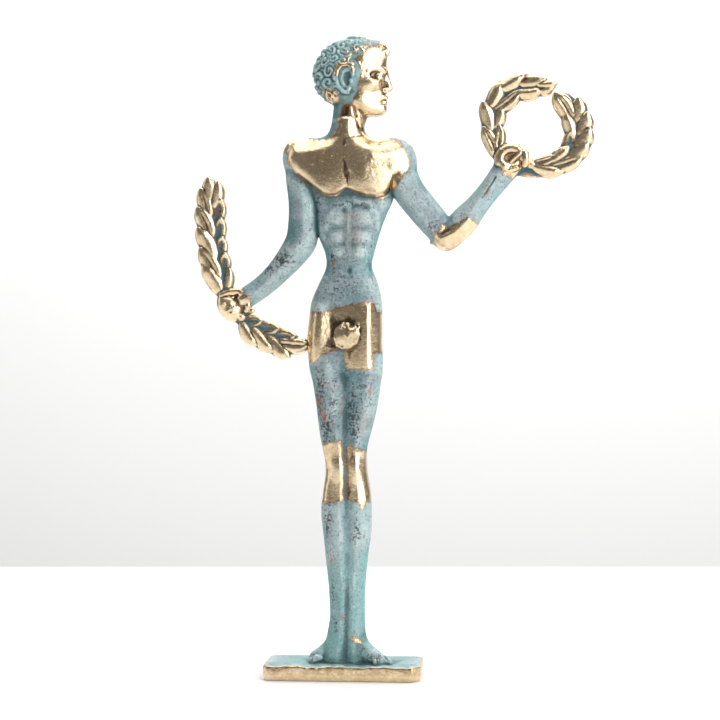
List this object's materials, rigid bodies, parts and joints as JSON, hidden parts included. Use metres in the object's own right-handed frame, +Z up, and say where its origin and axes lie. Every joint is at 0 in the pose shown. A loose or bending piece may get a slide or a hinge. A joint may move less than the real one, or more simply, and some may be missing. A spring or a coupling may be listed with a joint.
{
  "type": "brass athlete statuette",
  "caption": "Solid cast brass statuette of a standing athlete on a low plate, holding up a laurel wreath in one hand and an open laurel spray in the other.",
  "frame": {"origin": "centre of the plate's flat underside, on the surface the statuette stands on", "axes": "+Z up along the figure, the figure's front faces -Y, +X to the viewer's right, the side of the raised wreath"},
  "size_m": [0.135, 0.026, 0.2166],
  "materials": {
    "brass": "sand-cast brass with green-blue patina, polished bright on the face, shoulders, chest, loins, knees, hands, wreath, spray and plate edge"
  },
  "bodies": {
    "root": {"statue": "brass"}
  },
  "joints": []
}
